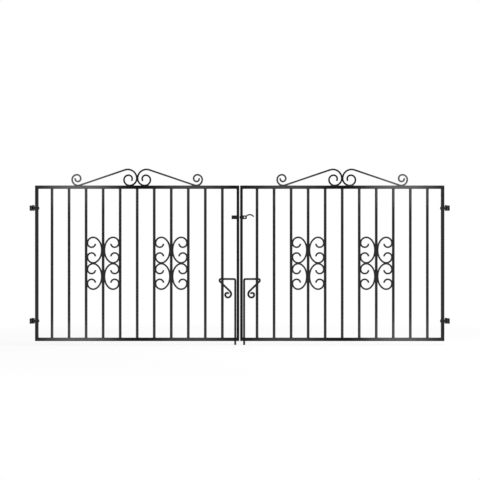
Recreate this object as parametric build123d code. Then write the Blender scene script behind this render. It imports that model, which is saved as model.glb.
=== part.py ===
"""A pair of wrought iron driveway gates on four pier hinges, in millimetres.

X runs along the gates, Y away from the street side into the drive, Z up.
The origin is on the left pier, at the middle of the lower hinge plate's back face.
"""

import os
from math import cos, radians, sin

from build123d import *

# Opening and leaves
opening = 2440.0
meeting_gap = 5.0
frame_height = 906.0
frame_depth = 18.0
rail_height = 20.0
hinge_stile_width = 20.0
meeting_stile_width = 15.5
bar_diameter = 16.0
bar_count = 11
end_bar_inset = 98.5
weld_gap = 0.2

# Pier hinges
lower_hinge_rise = 117.0
upper_hinge_drop = 132.0
pier_plate_thickness = 4.0
pier_plate_width = 76.0
pier_bolt_spacing = 54.0
pier_bolt_hole_radius = 4.5
pin_radius = 5.0
pin_head_radius = 7.0
pin_head_height = 2.5
pin_fit = 0.06
ear_thickness = 6.0
ear_radius = 8.0
ear_stile_gap = 2.5
eye_radius = 9.0
eye_play = 0.5
swing_clearance = 5.0
shank_radius = 5.0
shank_fit = 0.15
nut_flats = 16.0
nut_thickness = 3.5
shank_end = 1.0

# Scrolls, square bar let into what it is welded to
scroll_thickness = 10.0
scroll_depth = 10.0
panel_first_bars = (2, 6)
panel_back_share = 1.32
panel_back_angle = 18.0
panel_shoulder_share = 0.815
panel_shoulder_angle = 36.0
panel_hook_share = 0.29
panel_hook_angle = 96.0
panel_tip_share = 0.26
panel_tip_angle = 81.0
crest_slope_angle = 18.75
crest_large_radii = (52.0, 41.5, 33.0, 27.0, 21.0)
crest_large_end_angle = 126.0
crest_small_radii = (34.5, 28.0, 22.0, 17.5, 14.5)
crest_small_end_angle = 111.0

# Drop bolts
rod_radius = 6.0
rod_fit = 0.5
rod_stile_gap = 1.9
rod_below_frame = 23.0
rod_tip_chamfer = 2.0
handle_rise = 361.0
handle_reach = 95.0
handle_back_angle = 15.0
handle_bend_radius = 7.5
hairpin_radius = 8.5
hairpin_angle = 137.0
handle_return = 82.0
handle_curl_radii = (23.5, 20.0, 15.5, 11.5)
handle_curl_end_angle = 150.0
stop_pin_radius = 2.0
stop_pin_seat = 0.3

# Slide latch, on the back of the meeting stiles
latch_drop = 185.0
latch_plate_height = 22.0
latch_plate_thickness = 5.0
latch_plate_reach = 24.0
latch_corner_radius = 8.0
keeper_plate_reach = 29.5
keeper_roll_radius = 6.0
latch_bar_height = 14.0
latch_bar_thickness = 8.0
latch_bar_nose = 3.0
latch_nose_chamfer = 2.5
latch_bar_length = 38.0
latch_fit = 0.4
staple_width = 11.0
staple_thickness = 4.0
padlock_hole_radius = 4.0
padlock_hole_reach = 11.0
tail_reach = 47.0
tail_rise = 15.0
tail_root_inset = 3.0
tail_root_thickness = 8.0
tail_tip_thickness = 5.0
tail_tip_rise = 5.0
tail_peak_share = 0.52

# Places worked out from the sizes above
half_opening = opening / 2
frame_bottom = -lower_hinge_rise
frame_top = frame_bottom + frame_height
hinge_heights = (0.0, frame_top - upper_hinge_drop)
eye_height = 2 * eye_radius
pin_axis_x = pier_plate_thickness + swing_clearance + eye_radius
hinge_gap = pin_axis_x + ear_radius + ear_stile_gap
leaf_width = half_opening - meeting_gap / 2 - hinge_gap
leaf_end = hinge_gap + leaf_width
leaf_middle = hinge_gap + leaf_width / 2
bar_pitch = (leaf_width - 2 * end_bar_inset) / (bar_count - 1)
hinge_stile_inner = hinge_gap + hinge_stile_width
meeting_stile_inner = leaf_end - meeting_stile_width
bars_bottom = frame_bottom + rail_height
bars_top = frame_top - rail_height
bracket_height = eye_height + 2 * eye_play + 2 * ear_thickness
scroll_overlap = scroll_thickness / 2
rod_x = meeting_stile_inner - rod_stile_gap - rod_radius
latch_z = frame_top - latch_drop
stile_back = frame_depth / 2
latch_plate_back = stile_back + latch_plate_thickness
latch_bar_front = latch_plate_back + latch_fit
latch_bar_back = latch_bar_front + latch_bar_thickness
right_leaf_end = half_opening + meeting_gap / 2
right_stile_inner = right_leaf_end + meeting_stile_width


def bar_x(index):
    """Centre of an infill bar, counted from the hinge stile."""
    return leaf_middle + (index - (bar_count - 1) / 2) * bar_pitch


def block(x_span, y_span, z_span):
    """Box between three pairs of limits."""
    sizes = [high - low for low, high in (x_span, y_span, z_span)]
    middle = [(low + high) / 2 for low, high in (x_span, y_span, z_span)]
    return Pos(*middle) * Box(*sizes)


def about(middle, size):
    """Limits of a size centred on a place."""
    return (middle - size / 2, middle + size / 2)


def rod_along_x(x_span, y, z, radius):
    """Round bar that lies along X."""
    low, high = x_span
    return Pos(low, y, z) * extrude(Plane.YZ * Circle(radius), high - low)


def mirrored(shape):
    """The same piece on the right leaf."""
    return mirror(shape, about=Plane.YZ.offset(half_opening))


def run(start, heading, steps, offset=0.0):
    """Edges of straights (length, 0) and tangent arcs (radius, turn), moved sideways by offset."""
    side = radians(heading + 90)
    point = Vector(*start) + Vector(cos(side), sin(side)) * offset
    edges = []
    for size, turn in steps:
        tangent = Vector(cos(radians(heading)), sin(radians(heading)))
        if turn == 0:
            edges.append(Edge.make_line(point, point + tangent * size))
        else:
            inside = offset if turn > 0 else -offset
            edges.append(JernArc(point, tangent, size - inside, turn).edge())
        point = edges[-1] @ 1
        heading += turn
    return edges


def scroll(start, heading, ahead, behind):
    """Square bar bent in the plane of the leaf, run both ways from a point on its centre line."""
    half = scroll_thickness / 2
    edges = []
    for direction, steps in ((heading, ahead), (heading + 180, behind)):
        left = run(start, direction, steps, half)
        right = run(start, direction, steps, -half)
        edges += left + right + [Edge.make_line(left[-1] @ 1, right[-1] @ 1)]
    return extrude(Plane.XZ * make_face(edges), scroll_depth / 2, both=True)


def hinge_bracket(z):
    """Pier plate and a clevis, slotted for the eye, that holds the pin."""
    plate = block((0, pier_plate_thickness), about(0, pier_plate_width), about(z, bracket_height))
    for side in (-1, 1):
        hole_y = side * pier_bolt_spacing / 2
        plate -= rod_along_x((0, pier_plate_thickness), hole_y, z, pier_bolt_hole_radius)
    outline = Rectangle(pin_axis_x, 2 * ear_radius, align=(Align.MIN, Align.CENTER))
    outline += Pos(pin_axis_x, 0) * Circle(ear_radius)
    outline -= Pos(pin_axis_x, 0) * Circle(pin_radius + pin_fit)
    clevis = Pos(0, 0, z - bracket_height / 2) * extrude(outline, bracket_height)
    slot_x = (pin_axis_x - eye_radius - eye_play, pin_axis_x + ear_radius)
    slot = block(slot_x, about(0, 2 * ear_radius), about(z, eye_height + 2 * eye_play))
    return plate + (clevis - slot)


def hinge_pin(z):
    """Headed pin, flush with the underside of the clevis."""
    pin = extrude(Circle(pin_radius), bracket_height)
    head = Pos(0, 0, bracket_height) * extrude(Circle(pin_head_radius), pin_head_height)
    return Pos(pin_axis_x, 0, z - bracket_height / 2) * (pin + head)


def eye_bolt(z):
    """Eye on the pin, collar against the hinge stile and shank through it."""
    eye = Pos(pin_axis_x, 0, z - eye_height / 2) * extrude(Circle(eye_radius), eye_height)
    end = hinge_stile_inner + nut_thickness + shank_end
    bolt = eye + rod_along_x((pin_axis_x, hinge_gap), 0, z, eye_radius)
    bolt += rod_along_x((pin_axis_x, end), 0, z, shank_radius)
    bore = extrude(Circle(pin_radius + pin_fit), eye_height)
    return bolt - Pos(pin_axis_x, 0, z - eye_height / 2) * bore


def hinge_nut(z):
    """Hexagon nut on the shank, inside the hinge stile."""
    corner_radius = nut_flats / 2 / cos(radians(30))
    outline = RegularPolygon(corner_radius, 6) - Circle(shank_radius + shank_fit)
    return Pos(hinge_stile_inner, 0, z) * extrude(Plane.YZ * outline, nut_thickness)


def hinge_stile():
    """Upright on the pier side, drilled for both eye bolts."""
    x_span = (hinge_gap, hinge_stile_inner)
    stile = block(x_span, about(0, frame_depth), (frame_bottom, frame_top))
    for z in hinge_heights:
        stile -= rod_along_x(x_span, 0, z, shank_radius + shank_fit)
    return stile


def bottom_rail():
    """Lower rail, drilled for the drop bolt."""
    x_span = (hinge_stile_inner, meeting_stile_inner)
    rail = block(x_span, about(0, frame_depth), (frame_bottom, bars_bottom))
    hole = Pos(rod_x, 0, frame_bottom) * extrude(Circle(rod_radius + rod_fit), rail_height)
    return rail - hole


def infill_bar(index, clearance=0.0):
    """Upright round bar between the rails."""
    bar = extrude(Circle(bar_diameter / 2 + clearance), bars_top - bars_bottom)
    return Pos(bar_x(index), 0, bars_bottom) * bar


def panel_scrolls(first_bar):
    """Upper and lower pairs of C scrolls between three bars, notched round them and back to back."""
    width = bar_pitch - bar_diameter
    back = panel_back_share * width
    shoulder = panel_shoulder_share * width
    back_end = radians(panel_back_angle)
    shoulder_end = radians(panel_back_angle + panel_shoulder_angle)
    inset = back * (1 - cos(back_end)) + shoulder * (cos(back_end) - cos(shoulder_end))
    crown = (width - inset) / (1 + cos(shoulder_end))
    rise = back * sin(back_end) + shoulder * (sin(shoulder_end) - sin(back_end))
    half_height = rise + crown * (1 - sin(shoulder_end)) + scroll_overlap / 2
    middle_x = bar_x(first_bar + 1)
    middle_z = (frame_bottom + frame_top) / 2
    upward = [(back, panel_back_angle), (shoulder, panel_shoulder_angle)]
    upward += [(crown, 180 - panel_back_angle - panel_shoulder_angle)]
    upward += [(panel_hook_share * width, panel_hook_angle), (panel_tip_share * width, panel_tip_angle)]
    downward = [(radius, -turn) for radius, turn in upward]
    pairs = []
    for side, kept in ((1, Keep.TOP), (-1, Keep.BOTTOM)):
        outer = scroll((middle_x - bar_diameter / 2, middle_z + side * half_height), 90, upward, downward)
        outer -= infill_bar(first_bar, weld_gap) + infill_bar(first_bar + 1, weld_gap)
        outer = split(outer, bisect_by=Plane.XY.offset(middle_z + side * weld_gap / 2), keep=kept)
        pairs.append([outer, mirror(outer, about=Plane.YZ.offset(middle_x))])
    return pairs


def crest_scroll():
    """S scroll seated flat on the top rail: large volute at the leaf's middle, small one outwards."""
    slope = radians(crest_slope_angle)
    top_radius, side_radius = crest_large_radii[:2]
    low_radius = crest_small_radii[0]
    upper_x = leaf_middle - scroll_overlap / 2 - top_radius * (1 + sin(slope))
    upper_z = frame_top + side_radius + top_radius * cos(slope)
    lower_z = frame_top + low_radius * (1 - cos(slope))
    length = (upper_z - lower_z) / sin(slope)
    large = [(radius, -90) for radius in crest_large_radii]
    large[0] = (top_radius, -90 - crest_slope_angle)
    large[-1] = (crest_large_radii[-1], -crest_large_end_angle)
    small = [(radius, -90) for radius in crest_small_radii]
    small[0] = (low_radius, -90 - crest_slope_angle)
    small[-1] = (crest_small_radii[-1], -crest_small_end_angle)
    crest = scroll((upper_x, upper_z), crest_slope_angle, large, [(length, 0)] + small)
    crest = split(crest, bisect_by=Plane.XY.offset(frame_top), keep=Keep.TOP)
    return split(crest, bisect_by=Plane.YZ.offset(leaf_middle - weld_gap / 2), keep=Keep.BOTTOM)


def drop_bolt():
    """Round rod through the bottom rail, bent at the top into a looped handle behind the bars."""
    back = radians(handle_back_angle)
    plane = Plane((rod_x, 0, 0), x_dir=(-cos(back), sin(back), 0), z_dir=(sin(back), cos(back), 0))
    tip = frame_bottom - rod_below_frame
    upright = frame_bottom + handle_rise - handle_bend_radius - tip
    arm = handle_reach - handle_bend_radius - hairpin_radius
    curl = [(radius, 90) for radius in handle_curl_radii]
    curl[0] = (handle_curl_radii[0], hairpin_angle - 90)
    curl[-1] = (handle_curl_radii[-1], handle_curl_end_angle)
    steps = [(upright, 0), (handle_bend_radius, -90), (arm, 0), (hairpin_radius, -hairpin_angle)]
    steps += [(handle_return, 0)] + curl
    path = plane * Wire(run((0, tip), 90, steps))
    bolt = sweep(Pos(rod_x, 0, tip) * Circle(rod_radius), path=path)
    bolt = chamfer(bolt.edges().sort_by(Axis.Z)[0], rod_tip_chamfer)
    return bolt - stop_pin(pin_fit)


def stop_pin(fit=0.0):
    """Cross pin that stops the drop bolt on the bottom rail."""
    z = bars_bottom + stop_pin_seat + stop_pin_radius
    pin = extrude(Plane.XZ * Circle(stop_pin_radius + fit), frame_depth / 2, both=True)
    return Pos(rod_x, 0, z) * pin


def staple(x_span):
    """U strap behind a latch plate, around the latch bar."""
    half_gap = latch_bar_height / 2 + latch_fit
    back = latch_bar_back + latch_fit
    z_span = about(latch_z, latch_plate_height)
    strap = block(x_span, (latch_plate_back, back + staple_thickness), z_span)
    return strap - block(x_span, (latch_plate_back, back), about(latch_z, 2 * half_gap))


def keeper_plate():
    """Plate on the left meeting stile's back, its free end rolled."""
    x_span = (meeting_stile_inner - keeper_plate_reach + keeper_roll_radius, leaf_end)
    z_span = about(latch_z, latch_plate_height)
    plate = block(x_span, (stile_back, latch_plate_back), z_span)
    roll = extrude(Circle(keeper_roll_radius), latch_plate_height)
    return plate + Pos(x_span[0], stile_back + keeper_roll_radius, z_span[0]) * roll


def padlock_hole(y_span):
    """Drilling through the latch plate and the latch bar."""
    low, high = y_span
    hole = extrude(Plane.XZ * Circle(padlock_hole_radius), low - high)
    return Pos(right_stile_inner + padlock_hole_reach, low, latch_z) * hole


def latch_plate():
    """Plate on the right meeting stile's back that the latch bar slides along."""
    y_span = (stile_back, latch_plate_back)
    x_span = (right_leaf_end, right_stile_inner + latch_plate_reach)
    plate = block(x_span, y_span, about(latch_z, latch_plate_height))
    corner = plate.edges().filter_by(Axis.Y).sort_by(Axis.X)[-2:].sort_by(Axis.Z)[0]
    return fillet(corner, latch_corner_radius) - padlock_hole(y_span)


def latch_bar():
    """Sliding bar with a curved tail to push it by."""
    y_span = (latch_bar_front, latch_bar_back)
    nose = right_leaf_end - latch_bar_nose
    root = nose + latch_bar_length
    bar = block((nose, root), y_span, about(latch_z, latch_bar_height))
    bar = chamfer(bar.edges().filter_by(Axis.Z).sort_by(Axis.X)[:2], latch_nose_chamfer)
    top = latch_bar_height / 2
    peak = tail_reach * tail_peak_share
    crest = tail_rise + tail_root_thickness / 2
    tip = (root + tail_reach, latch_z + tail_tip_rise)
    under_tip = (tip[0] - tail_tip_thickness, tip[1] - tail_tip_thickness)
    upper = ThreePointArc((root - tail_root_inset, latch_z + top), (root + peak, latch_z + crest), tip)
    lower = ThreePointArc(under_tip, (root + peak, latch_z + crest - tail_root_thickness), (root, latch_z))
    outline = make_face([upper, Line(tip, under_tip), lower, Line(lower @ 1, upper @ 0)])
    tail = Pos(0, latch_bar_front, 0) * extrude(Plane.XZ * outline, -latch_bar_thickness)
    return bar + tail - padlock_hole(y_span)


def leaf_pieces():
    """Named pieces of the left leaf."""
    rail_x = (hinge_stile_inner, meeting_stile_inner)
    meeting_x = (meeting_stile_inner, leaf_end)
    y_span = about(0, frame_depth)
    crest = crest_scroll()
    pieces = {
        "hinge_stile": hinge_stile(),
        "meeting_stile": block(meeting_x, y_span, (frame_bottom, frame_top)),
        "top_rail": block(rail_x, y_span, (bars_top, frame_top)),
        "bottom_rail": bottom_rail(),
        "infill_bars": Compound(children=[infill_bar(index) for index in range(bar_count)]),
        "outer_crest_scroll": crest,
        "inner_crest_scroll": mirror(crest, about=Plane.YZ.offset(leaf_middle)),
        "hinge_eye_bolts": Compound(children=[eye_bolt(z) for z in hinge_heights]),
        "hinge_nuts": Compound(children=[hinge_nut(z) for z in hinge_heights]),
        "drop_bolt": drop_bolt(),
        "drop_bolt_stop_pin": stop_pin(),
    }
    for panel, first_bar in zip(("outer", "inner"), panel_first_bars):
        for level, pair in zip(("upper", "lower"), panel_scrolls(first_bar)):
            pieces[f"{panel}_panel_{level}_scrolls"] = Compound(children=pair)
    return pieces


os.makedirs("parts", exist_ok=True)
nodes = {}
for name, piece in leaf_pieces().items():
    nodes[f"left_{name}"] = piece
    nodes[f"right_{name}"] = mirrored(piece)
for level, z in zip(("lower", "upper"), hinge_heights):
    nodes[f"left_{level}_hinge_bracket"] = hinge_bracket(z)
    nodes[f"right_{level}_hinge_bracket"] = mirrored(hinge_bracket(z))
left_pins = Compound(children=[hinge_pin(z) for z in hinge_heights])
nodes["left_hinge_pins"] = left_pins
nodes["right_hinge_pins"] = mirrored(left_pins)
nodes["latch_keeper_plate"] = keeper_plate()
nodes["latch_keeper_staple"] = staple(about(leaf_end - meeting_stile_width / 2, staple_width))
nodes["latch_plate"] = latch_plate()
nodes["latch_guide_staple"] = staple(about(right_leaf_end + meeting_stile_width / 2, staple_width))
nodes["latch_bar"] = latch_bar()

for name, shape in nodes.items():
    export_step(shape, f"parts/{name}.step")
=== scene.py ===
"""Looks of the driveway gate pair: black paint, weld beads, chamfered nuts and studio light, in metres."""

import math

import bpy
from mathutils import Matrix, Vector


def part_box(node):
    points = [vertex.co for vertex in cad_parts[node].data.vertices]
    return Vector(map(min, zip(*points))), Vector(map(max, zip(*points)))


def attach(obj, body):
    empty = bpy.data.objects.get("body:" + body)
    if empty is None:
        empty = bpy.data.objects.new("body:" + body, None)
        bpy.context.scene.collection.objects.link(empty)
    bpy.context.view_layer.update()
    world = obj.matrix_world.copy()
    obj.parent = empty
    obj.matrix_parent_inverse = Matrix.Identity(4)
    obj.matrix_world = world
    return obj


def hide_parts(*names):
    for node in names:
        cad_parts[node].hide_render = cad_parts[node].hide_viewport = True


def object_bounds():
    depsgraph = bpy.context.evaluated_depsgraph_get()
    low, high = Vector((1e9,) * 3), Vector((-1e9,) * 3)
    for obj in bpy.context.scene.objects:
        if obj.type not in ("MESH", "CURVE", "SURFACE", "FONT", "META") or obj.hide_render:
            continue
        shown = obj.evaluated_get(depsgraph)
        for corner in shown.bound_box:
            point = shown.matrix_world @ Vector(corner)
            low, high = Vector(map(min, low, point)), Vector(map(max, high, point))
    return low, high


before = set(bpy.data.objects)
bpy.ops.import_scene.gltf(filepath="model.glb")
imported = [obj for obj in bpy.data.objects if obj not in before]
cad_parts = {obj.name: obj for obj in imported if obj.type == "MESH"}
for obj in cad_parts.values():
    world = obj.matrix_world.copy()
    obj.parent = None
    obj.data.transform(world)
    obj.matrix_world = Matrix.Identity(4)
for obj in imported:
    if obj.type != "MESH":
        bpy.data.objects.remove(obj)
cad_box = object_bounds()

SIDES = ("left", "right")
PANELS = ("outer", "inner")
LEVELS = ("upper", "lower")
HARDWARE = ("bolt", "hinge_bracket", "hinge_pins", "hinge_nuts", "hinge_eye", "latch")
UNROUNDED = ("infill_bars", "nuts", "eye_bolts")
ALONG_X, ALONG_Y, ALONG_Z = (1, 0, 0), (0, 1, 0), (0, 0, 1)

# Camera, with its sensor in millimetres
CAMERA_DISTANCE = 12.0
CAMERA_SENSOR = 36.0
CAMERA_CLIP = 200
PICTURE_WIDTH = 2.7958
PICTURE_OFFSET_X = 0.0018
PICTURE_HEIGHT_Z = 0.4715

# Floor and surround
FLOOR_HALF_WIDTH = 40.0
FLOOR_SHADE = 0.9
FLOOR_WHITE_SHARE = 0.8
FLOOR_FADE = (1.5, 3.5)
WORLD_LIGHT = 0.65

# Key light, placed from the middle of the gates
KEY_PLACE = (1.8, -1.2, 4.2)
KEY_TARGET_Z = 0.3
KEY_SIZE = 2.0
KEY_POWER = 120

# Reflector strips: level, place from the middle and width of each soft band
GLOW_BANDS = ((3.95, 0.955, 0.195), (1.85, 0.285, 0.186))
GLOW_FALLOFF = 3
CENTRE_GLOW = 0.15
CENTRE_STRIP_HALF = 0.045
STRIP_DISTANCE = 0.25
STRIP_HALF_HEIGHT = 0.10
STRIP_OVERHANG_SHARE = 0.1
STRIP_STEPS = 120
FLOOR_GAP = 0.001

# Dark flags on a white ring, with places and width in degrees
FLAG_DISTANCE = 5.0
FLAG_TOP = 6.0
FLAG_PLACES = (40, 140, 220, 320)
FLAG_WIDTH = 20
FLAG_FALLOFF = 4
FLAG_DEPTH = 0.8
FLAG_STEPS = 144

# Paint: scale and detail of each noise, and what it drives
PAINT_IOR = 1.45
CLOUD_SPAN = (0.3, 0.7)
DRIFT_CLOUD = (9.0, 4.0)
DRIFT_SHARES = (0.75, 1.35)
GLOSS_CLOUD = (35.0, 3.0)
GLOSS_SPREAD = (-0.04, 0.05)
HAMMER_CLOUD = (55.0, 1.0)
HAMMER_HEIGHT = 0.0006
PEEL_CLOUD = (700.0, 2.0)
PEEL_HEIGHT = 0.00012

# Weld beads
RING_RADIUS = 0.0013
RING_SEAT_SHARE = 0.25
RING_STEPS = 36
FRONT_SEAM_RADIUS = 0.0011
BACK_SEAM_RADIUS = 0.0019
CORNER_BEAD_RADIUS = 0.0017
CORNER_BEAD_SHARE = 0.8
BRACKET_BEAD_SHARE = 0.9
SPINE_SEAM_HALF = 0.022
CROWN_SEAM_HALF = 0.013
LATCH_SEAM_HALF = 0.0055
LATCH_SIDE_SHARE = 1.3
CLEVIS_REACH = 0.010
BEAD_SIDES = 8
TACK_STEPS = 20
TACK_END_SHARE = 0.25
TACK_TAPER_POWER = 4
SAME = 1e-5

# Ripple along a bead, and the slower swell and the phase by place that keep beads unlike each other
RIPPLE_PITCH = 0.0022
RIPPLE_DEPTH = 0.14
SWELL_MIX = 0.37
SWELL_SHIFT = 5
SWELL_RATE = 900
RING_PHASE = 40
TACK_PHASE = (60, 90)

# Edges and nuts, with angles in degrees
EDGE_ROUND = 0.0012
SMALL_EDGE_ROUND = 0.0006
SCROLL_EDGE_ROUND = 0.0009
EDGE_SEGMENTS = 2
EDGE_ANGLE = 50
FLAT_ANGLE = 0.1
HEXAGON_TURN = 60
NUT_STEPS = 72
NUT_BORE = 0.00515
NUT_CHAMFER_SHARE = 0.97
NUT_CHAMFER_ANGLE = 30


def middle(low, high):
    """Point halfway between two corners."""
    return (Vector(low) + Vector(high)) / 2


MID_X = middle(*cad_box).x


# Materials

def mapped(nodes, from_span, to_span):
    """Node that maps one span of values onto another."""
    node = nodes.new("ShaderNodeMapRange")
    for end, value in zip(("From Min", "From Max", "To Min", "To Max"), from_span + to_span):
        node.inputs[end].default_value = value
    return node


def paint(name, colour, roughness, peel, unevenness):
    """Black coat over steel: slow drift in tone and gloss, fine orange peel, slight hammer marks below."""
    material = bpy.data.materials.new(name)
    material.use_nodes = True
    nodes, links = material.node_tree.nodes, material.node_tree.links
    shader = nodes["Principled BSDF"]
    shader.inputs["IOR"].default_value = PAINT_IOR
    place = nodes.new("ShaderNodeTexCoord")

    def cloud(scale, detail):
        texture = nodes.new("ShaderNodeTexNoise")
        texture.inputs["Scale"].default_value = scale
        texture.inputs["Detail"].default_value = detail
        links.new(place.outputs["Object"], texture.inputs["Vector"])
        return texture.outputs["Fac"]

    def relief(height, strength, distance):
        bump = nodes.new("ShaderNodeBump")
        bump.inputs["Strength"].default_value = strength
        bump.inputs["Distance"].default_value = distance
        links.new(height, bump.inputs["Height"])
        return bump

    tone = nodes.new("ShaderNodeValToRGB")
    for stop, share, spot in zip(tone.color_ramp.elements, DRIFT_SHARES, CLOUD_SPAN):
        stop.color = [share * channel for channel in colour] + [1.0]
        stop.position = spot
    links.new(cloud(*DRIFT_CLOUD), tone.inputs["Fac"])
    links.new(tone.outputs["Color"], shader.inputs["Base Color"])

    gloss = mapped(nodes, CLOUD_SPAN, tuple(roughness + change for change in GLOSS_SPREAD))
    links.new(cloud(*GLOSS_CLOUD), gloss.inputs["Value"])
    links.new(gloss.outputs["Result"], shader.inputs["Roughness"])

    hammer = relief(cloud(*HAMMER_CLOUD), unevenness, HAMMER_HEIGHT)
    skin = relief(cloud(*PEEL_CLOUD), peel, PEEL_HEIGHT)
    links.new(hammer.outputs["Normal"], skin.inputs["Normal"])
    links.new(skin.outputs["Normal"], shader.inputs["Normal"])
    return material


frame_paint = paint("frame_paint", colour=(0.0035, 0.0035, 0.0037), roughness=0.25,
                    peel=0.40, unevenness=0.14)
hardware_paint = paint("hardware_paint", colour=(0.0030, 0.0030, 0.0031), roughness=0.32,
                       peel=0.45, unevenness=0.18)
weld_paint = paint("weld_paint", colour=(0.0033, 0.0033, 0.0035), roughness=0.30,
                   peel=0.40, unevenness=0.25)


# Mesh pieces

class Shape:
    """Points and faces of one piece, gathered before it becomes a mesh."""

    def __init__(self):
        self.points = []
        self.faces = []

    def ring_skin(self, rings, closed):
        """Skin over rings of equally many points, capped at both ends unless it closes on itself."""
        first = len(self.points)
        count = len(rings[0])
        for ring in rings:
            self.points += ring
        spans = len(rings) if closed else len(rings) - 1
        for span in range(spans):
            start = first + span * count
            after = first + (span + 1) % len(rings) * count
            for side in range(count):
                turn = (side + 1) % count
                self.faces.append((start + side, start + turn, after + turn, after + side))
        if not closed:
            self.faces.append(tuple(first + side for side in reversed(range(count))))
            self.faces.append(tuple(first + (len(rings) - 1) * count + side for side in range(count)))

    def piece(self, name, body, material):
        """Mesh object that rides on a body."""
        mesh = bpy.data.meshes.new(name)
        mesh.from_pydata(self.points, [], self.faces)
        mesh.validate()
        mesh.materials.append(material)
        mesh.shade_smooth()
        thing = bpy.data.objects.new(name, mesh)
        bpy.context.scene.collection.objects.link(thing)
        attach(thing, body)
        return thing


def ripple(distance, start):
    """Swell and dip of a bead along its length."""
    wave = math.sin(2 * math.pi * distance / RIPPLE_PITCH + start)
    swell = math.sin(SWELL_MIX * wave + SWELL_SHIFT * start + SWELL_RATE * distance)
    return 1 + RIPPLE_DEPTH * wave + RIPPLE_DEPTH / 2 * swell


def weld_ring(shape, centre, radius):
    """Bead round the foot of an upright bar."""
    rings = []
    for step in range(RING_STEPS):
        angle = 2 * math.pi * step / RING_STEPS
        outward = Vector((math.cos(angle), math.sin(angle), 0))
        thick = RING_RADIUS * ripple(radius * angle, RING_PHASE * centre.x)
        ring = []
        for side in range(BEAD_SIDES):
            around = 2 * math.pi * side / BEAD_SIDES
            reach = radius + thick * math.cos(around)
            ring.append(centre + outward * reach + Vector((0, 0, thick * math.sin(around))))
        rings.append(ring)
    shape.ring_skin(rings, closed=True)


def weld_tack(shape, centre, along, half_length, radius):
    """Short bead that tapers at both ends."""
    along = Vector(along).normalized()
    side_a = along.orthogonal().normalized()
    side_b = along.cross(side_a)
    start = TACK_PHASE[0] * centre.x + TACK_PHASE[1] * centre.z
    rings = []
    for step in range(TACK_STEPS + 1):
        share = 2 * step / TACK_STEPS - 1
        taper = max(TACK_END_SHARE, math.sqrt(max(0.0, 1 - share ** TACK_TAPER_POWER)))
        thick = radius * taper * ripple(share * half_length, start)
        spot = centre + along * (share * half_length)
        rings.append([
            spot + thick * (math.cos(2 * math.pi * side / BEAD_SIDES) * side_a
                            + math.sin(2 * math.pi * side / BEAD_SIDES) * side_b)
            for side in range(BEAD_SIDES)
        ])
    shape.ring_skin(rings, closed=False)


def seam(shape, spot, depth, along, half_length):
    """Fine bead on the street side of a joint and a fuller one behind it."""
    for y, radius in ((-depth, FRONT_SEAM_RADIUS), (depth, BACK_SEAM_RADIUS)):
        weld_tack(shape, Vector((spot[0], y, spot[1])), along, half_length, radius)


def seat_seam(shape, places, z, depth):
    """Seam along the stretch of X where a scroll sits on something."""
    low, high = min(places), max(places)
    seam(shape, ((low + high) / 2, z), depth, ALONG_X, (high - low) / 2)


def vertices(node):
    """Corner points of a CAD node."""
    return [vertex.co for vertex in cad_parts[node].data.vertices]


def bar_places(side):
    """Centre line of each infill bar, counted as the runs of points along X, and the bars' diameter."""
    low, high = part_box(f"{side}_infill_bars")
    diameter = high.y - low.y
    along = sorted(point.x for point in vertices(f"{side}_infill_bars"))
    count = 1 + sum(after - before > diameter for before, after in zip(along, along[1:]))
    pitch = (high.x - low.x - diameter) / (count - 1)
    return [low.x + diameter / 2 + index * pitch for index in range(count)], diameter


def bar_welds(side):
    """Beads at both ends of every infill bar."""
    places, diameter = bar_places(side)
    low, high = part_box(f"{side}_infill_bars")
    shape = Shape()
    for x in places:
        for z in (low.z, high.z):
            weld_ring(shape, Vector((x, 0, z)), diameter / 2 + RING_RADIUS * RING_SEAT_SHARE)
    shape.piece(f"{side}_bar_welds", f"{side}_leaf", weld_paint)


def corner_welds(side):
    """Beads inside the four corners of a leaf's frame."""
    shape = Shape()
    for level in ("top", "bottom"):
        low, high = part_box(f"{side}_{level}_rail")
        z = low.z if level == "top" else high.z
        for x in (low.x, high.x):
            weld_tack(shape, Vector((x, 0, z)), ALONG_Y, CORNER_BEAD_SHARE * high.y, CORNER_BEAD_RADIUS)
    shape.piece(f"{side}_corner_welds", f"{side}_leaf", weld_paint)


def touching_end(heights, middle_z, side):
    """Middle height of the points on one side of a scroll's middle."""
    own = [z for z in heights if side * (z - middle_z) > 0]
    return (min(own) + max(own)) / 2


def scroll_pair_welds(shape, node):
    """Seams where a pair of panel scrolls meets the bar between them and the bars beside them."""
    low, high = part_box(node)
    centre = middle(low, high)
    face = [point for point in vertices(node) if point.y > high.y - SAME]
    for half in (-1, 1):
        own = [p.x for p in face if half * (p.x - centre.x) > 0]
        inner = min(own, key=lambda x: abs(x - centre.x))
        seam(shape, (inner, centre.z), high.y, ALONG_Z, SPINE_SEAM_HALF)
        outer = max(own, key=lambda x: half * x)
        touching = [p.z for p in face if abs(p.x - outer) < SAME]
        for end in (1, -1):
            seam(shape, (outer, touching_end(touching, centre.z, end)), high.y, ALONG_Z, CROWN_SEAM_HALF)


def panel_joint_welds(shape, upper, lower):
    """Seams where the upper scrolls of a panel stand on the lower ones."""
    low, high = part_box(lower)
    joint_z = (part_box(upper)[0].z + high.z) / 2
    seat = [p.x for p in vertices(lower) if p.z > high.z - SAME]
    axis_x = middle(low, high).x
    for half in (-1, 1):
        seat_seam(shape, [x for x in seat if half * (x - axis_x) > 0], joint_z, high.y)


def crest_welds(shape, node):
    """Seams at both places where a crest scroll sits on the top rail."""
    low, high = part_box(node)
    seats = sorted(p.x for p in vertices(node) if p.z < low.z + SAME)
    split_x = max((after - before, (after + before) / 2) for before, after in zip(seats, seats[1:]))[1]
    seat_seam(shape, [x for x in seats if x < split_x], low.z, high.y)
    seat_seam(shape, [x for x in seats if x > split_x], low.z, high.y)


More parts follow.
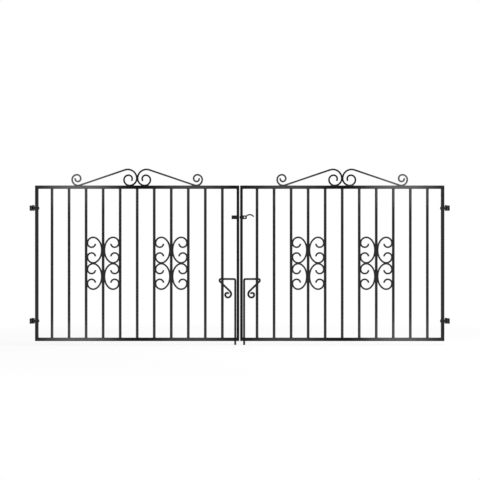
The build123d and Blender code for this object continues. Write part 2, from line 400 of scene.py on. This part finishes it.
def scroll_welds(side):
    """Seams where scrolls meet a bar, the top rail or each other."""
    shape = Shape()
    for panel in PANELS:
        pairs = [f"{side}_{panel}_panel_{level}_scrolls" for level in LEVELS]
        for node in pairs:
            scroll_pair_welds(shape, node)
        panel_joint_welds(shape, *pairs)
    for crest in PANELS:
        crest_welds(shape, f"{side}_{crest}_crest_scroll")
    shape.piece(f"{side}_scroll_welds", f"{side}_leaf", weld_paint)


def bracket_welds():
    """Beads where each clevis meets its pier plate."""
    shape = Shape()
    for side, outward in zip(SIDES, (1, -1)):
        for level in LEVELS:
            node = f"{side}_{level}_hinge_bracket"
            low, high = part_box(node)
            centre = middle(low, high)
            half_length = BRACKET_BEAD_SHARE * (high.z - centre.z)
            plate_edge = [p.x for p in vertices(node) if p.y > high.y - SAME]
            plate_front = max(plate_edge) if outward > 0 else min(plate_edge)
            clevis = [p.y for p in vertices(node) if outward * (p.x - plate_front) > CLEVIS_REACH]
            for y in (min(clevis), max(clevis)):
                weld_tack(shape, Vector((plate_front, y, centre.z)), ALONG_Z, half_length, CORNER_BEAD_RADIUS)
    shape.piece("hinge_bracket_welds", "hinge_brackets", weld_paint)


def latch_welds(side, node):
    """Beads that hold a latch plate on the back of its meeting stile."""
    low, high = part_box(node)
    stile_low, stile_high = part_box(f"{side}_meeting_stile")
    back_y = stile_high.y
    shape = Shape()
    for z in (low.z, high.z):
        centre = Vector((middle(stile_low, stile_high).x, back_y, z))
        weld_tack(shape, centre, ALONG_X, LATCH_SEAM_HALF, CORNER_BEAD_RADIUS)
    edge_x = stile_low.x if side == "left" else stile_high.x
    centre = Vector((edge_x, back_y, middle(low, high).z))
    weld_tack(shape, centre, ALONG_Z, LATCH_SIDE_SHARE * LATCH_SEAM_HALF, CORNER_BEAD_RADIUS)
    shape.piece(f"{node}_welds", f"{side}_leaf", weld_paint)


def chamfered_nut(shape, x_span, centre_z, flats):
    """Hexagon nut with its corners turned off at both ends."""
    low, high = x_span
    start = flats / 2 * NUT_CHAMFER_SHARE
    slope = math.tan(math.radians(NUT_CHAMFER_ANGLE))
    profiles = []
    for step in range(NUT_STEPS):
        angle = 2 * math.pi * step / NUT_STEPS
        from_flat = math.degrees(angle) % HEXAGON_TURN - HEXAGON_TURN / 2
        corner = flats / 2 / math.cos(math.radians(from_flat))
        cut = max(0.0, corner - start) * slope
        radii = (NUT_BORE, start, corner, corner, start, NUT_BORE)
        places = (low, low, low + cut, high - cut, high, high)
        profiles.append([Vector((x, radius * math.sin(angle), centre_z + radius * math.cos(angle)))
                         for radius, x in zip(radii, places)])
    shape.ring_skin(list(zip(*profiles)), closed=True)


def hinge_nuts(side):
    """Both nuts of a leaf, each with its chamfers."""
    node = f"{side}_hinge_nuts"
    low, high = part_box(node)
    flats = (high.y - low.y) * math.cos(math.radians(HEXAGON_TURN / 2))
    shape = Shape()
    for level in LEVELS:
        centre = middle(*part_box(f"{side}_{level}_hinge_bracket"))
        chamfered_nut(shape, (low.x, high.x), centre.z, flats)
    nuts = shape.piece(f"{side}_chamfered_nuts", f"{side}_leaf", hardware_paint)
    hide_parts(node)


def rounded(node, width):
    """Small round on a node's edges, so that they catch the light."""
    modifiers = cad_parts[node].modifiers
    modifiers.new("join", "WELD").merge_threshold = SAME
    flats = modifiers.new("flats", "DECIMATE")
    flats.decimate_type = "DISSOLVE"
    flats.angle_limit = math.radians(FLAT_ANGLE)
    edge = modifiers.new("edge_round", "BEVEL")
    edge.width = width
    edge.segments = EDGE_SEGMENTS
    edge.limit_method = "ANGLE"
    edge.angle_limit = math.radians(EDGE_ANGLE)
    edge.use_clamp_overlap = False
    modifiers.new("even_shading", "WEIGHTED_NORMAL")


def coat(node, material):
    """Puts one material on a CAD node."""
    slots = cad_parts[node].data.materials
    slots.clear()
    slots.append(material)


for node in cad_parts:
    is_hardware = any(word in node for word in HARDWARE)
    coat(node, hardware_paint if is_hardware else frame_paint)
    if "rail" in node or "stile" in node:
        rounded(node, EDGE_ROUND)
    elif "scroll" in node:
        rounded(node, SCROLL_EDGE_ROUND)
    elif not any(word in node for word in UNROUNDED):
        rounded(node, SMALL_EDGE_ROUND)

for side in SIDES:
    bar_welds(side)
    corner_welds(side)
    scroll_welds(side)
    hinge_nuts(side)
bracket_welds()
latch_welds("left", "latch_keeper_plate")
latch_welds("right", "latch_plate")


# Stage, light and camera

def seen_as_white(nodes, links):
    """1 for camera, glossy and transmission rays, 0 for the rays that carry light."""
    path = nodes.new("ShaderNodeLightPath")
    seen = path.outputs["Is Camera Ray"]
    for ray in ("Is Glossy Ray", "Is Transmission Ray"):
        either = nodes.new("ShaderNodeMath")
        either.operation = "MAXIMUM"
        links.new(seen, either.inputs[0])
        links.new(path.outputs[ray], either.inputs[1])
        seen = either.outputs["Value"]
    return seen


def studio_world():
    """White surround with even, plain light."""
    world = bpy.data.worlds.new("studio")
    bpy.context.scene.world = world
    world.use_nodes = True
    nodes, links = world.node_tree.nodes, world.node_tree.links
    surround = nodes["Background"]
    surround.inputs["Color"].default_value = (1, 1, 1, 1)
    strength = mapped(nodes, (0.0, 1.0), (WORLD_LIGHT, 1.0))
    links.new(seen_as_white(nodes, links), strength.inputs["Value"])
    links.new(strength.outputs["Result"], surround.inputs["Strength"])


def floor_material():
    """Pale surface that keeps a faint shadow near the gates and turns plain white further out."""
    material = bpy.data.materials.new("floor")
    material.use_nodes = True
    nodes, links = material.node_tree.nodes, material.node_tree.links
    lit = nodes["Principled BSDF"]
    lit.inputs["Base Color"].default_value = (FLOOR_SHADE, FLOOR_SHADE, FLOOR_SHADE, 1)
    lit.inputs["Roughness"].default_value = 1.0
    lit.inputs["Specular IOR Level"].default_value = 0.0
    white = nodes.new("ShaderNodeEmission")
    place = nodes.new("ShaderNodeTexCoord")
    distance = nodes.new("ShaderNodeVectorMath")
    distance.operation = "LENGTH"
    links.new(place.outputs["Object"], distance.inputs[0])
    fade = mapped(nodes, FLOOR_FADE, (FLOOR_WHITE_SHARE, 1.0))
    fade.interpolation_type = "SMOOTHSTEP"
    links.new(distance.outputs["Value"], fade.inputs["Value"])
    share = nodes.new("ShaderNodeMath")
    share.operation = "MULTIPLY"
    links.new(seen_as_white(nodes, links), share.inputs[0])
    links.new(fade.outputs["Result"], share.inputs[1])
    mix = nodes.new("ShaderNodeMixShader")
    links.new(share.outputs["Value"], mix.inputs["Fac"])
    links.new(lit.outputs["BSDF"], mix.inputs[1])
    links.new(white.outputs["Emission"], mix.inputs[2])
    links.new(mix.outputs["Shader"], nodes["Material Output"].inputs["Surface"])
    return material


def floor():
    """Floor under the tips of the drop bolts."""
    mesh = bpy.data.meshes.new("floor")
    reach = FLOOR_HALF_WIDTH
    corners = [(-reach, -reach, 0), (reach, -reach, 0), (reach, reach, 0), (-reach, reach, 0)]
    mesh.from_pydata(corners, [], [(0, 1, 2, 3)])
    mesh.materials.append(floor_material())
    ground = bpy.data.objects.new("floor", mesh)
    ground.location = (MID_X, 0, cad_box[0].z)
    bpy.context.scene.collection.objects.link(ground)


class GlossyPanel:
    """Upright studio bands that show only in gloss, with their own brightness along them."""

    def __init__(self):
        self.points = []
        self.faces = []
        self.glow = []

    def band(self, places, heights):
        """Band through places of x, y and brightness, between two heights."""
        for count, (x, y, level) in enumerate(places):
            self.points += [(x, y, z) for z in heights]
            self.glow += [level for z in heights]
            if count:
                last = len(self.points) - 1
                self.faces.append((last - 3, last - 1, last, last - 2))

    def build(self, name):
        """Stage object of the bands gathered so far."""
        mesh = bpy.data.meshes.new(name)
        mesh.from_pydata(self.points, [], self.faces)
        mesh.attributes.new("glow", "FLOAT", "POINT").data.foreach_set("value", self.glow)
        material = bpy.data.materials.new(name)
        material.use_nodes = True
        nodes, links = material.node_tree.nodes, material.node_tree.links
        nodes.remove(nodes["Principled BSDF"])
        level = nodes.new("ShaderNodeAttribute")
        level.attribute_name = "glow"
        light = nodes.new("ShaderNodeEmission")
        links.new(level.outputs["Fac"], light.inputs["Strength"])
        links.new(light.outputs["Emission"], nodes["Material Output"].inputs["Surface"])
        mesh.materials.append(material)
        panel = bpy.data.objects.new(name, mesh)
        panel.visible_camera = False
        panel.visible_diffuse = False
        panel.visible_shadow = False
        panel.visible_transmission = False
        bpy.context.scene.collection.objects.link(panel)


def strip_glow(x):
    """Brightness of the reflector strips: two soft bands for each leaf, dark between them."""
    away = abs(x - MID_X)
    return sum(level * math.exp(-(abs(away - place) / width) ** GLOW_FALLOFF)
               for level, place, width in GLOW_BANDS)


def reflectors():
    """Strips in front of the rails and the meeting stiles."""
    low, high = cad_box
    panel = GlossyPanel()
    reach = 1 + 2 * STRIP_OVERHANG_SHARE
    shares = [reach * step / STRIP_STEPS - STRIP_OVERHANG_SHARE for step in range(STRIP_STEPS + 1)]
    places = [low.x + (high.x - low.x) * share for share in shares]
    top_z, bottom_z = (middle(*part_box(f"left_{level}_rail")).z for level in ("top", "bottom"))
    for z in (top_z, bottom_z):
        foot = max(low.z + FLOOR_GAP, z - STRIP_HALF_HEIGHT)
        panel.band([(x, -STRIP_DISTANCE, strip_glow(x)) for x in places], (foot, z + STRIP_HALF_HEIGHT))
    panel.band([(MID_X + x, -STRIP_DISTANCE, CENTRE_GLOW) for x in (-CENTRE_STRIP_HALF, CENTRE_STRIP_HALF)],
               (bottom_z, top_z))
    panel.build("reflectors")


def flags():
    """White ring around the gates with soft dark bands, which give round bars their shape."""
    places = []
    for step in range(FLAG_STEPS + 1):
        turn = 2 * math.pi * step / FLAG_STEPS
        away = [abs(math.degrees(turn) - place) for place in FLAG_PLACES]
        dark = sum(math.exp(-(angle / FLAG_WIDTH) ** FLAG_FALLOFF) for angle in away)
        places.append((MID_X + FLAG_DISTANCE * math.sin(turn), -FLAG_DISTANCE * math.cos(turn),
                       1 - FLAG_DEPTH * dark))
    panel = GlossyPanel()
    panel.band(places, (cad_box[0].z, FLAG_TOP))
    panel.build("flags")


def key_light():
    """Square studio light above the street side, aimed at the gates."""
    light = bpy.data.lights.new("key", "AREA")
    light.shape = "RECTANGLE"
    light.size = light.size_y = KEY_SIZE
    light.energy = KEY_POWER
    lamp = bpy.data.objects.new("key", light)
    x, y, z = KEY_PLACE
    place = Vector((MID_X + x, y, z))
    aim = Vector((MID_X, 0, KEY_TARGET_Z)) - place
    lamp.matrix_world = Matrix.Translation(place) @ aim.to_track_quat("-Z", "Y").to_matrix().to_4x4()
    lamp.visible_camera = False
    bpy.context.scene.collection.objects.link(lamp)


def camera():
    """Level view at right angles to the gates."""
    data = bpy.data.cameras.new("camera")
    data.sensor_width = CAMERA_SENSOR
    data.lens = CAMERA_SENSOR * CAMERA_DISTANCE / PICTURE_WIDTH
    data.clip_end = CAMERA_CLIP
    seat = bpy.data.objects.new("camera", data)
    seat.location = (MID_X + PICTURE_OFFSET_X, -CAMERA_DISTANCE, PICTURE_HEIGHT_Z)
    seat.rotation_euler = (math.radians(90), 0, 0)
    bpy.context.scene.collection.objects.link(seat)
    bpy.context.scene.camera = seat


studio_world()
floor()
reflectors()
flags()
key_light()
camera()
bpy.context.scene.view_settings.view_transform = "Standard"
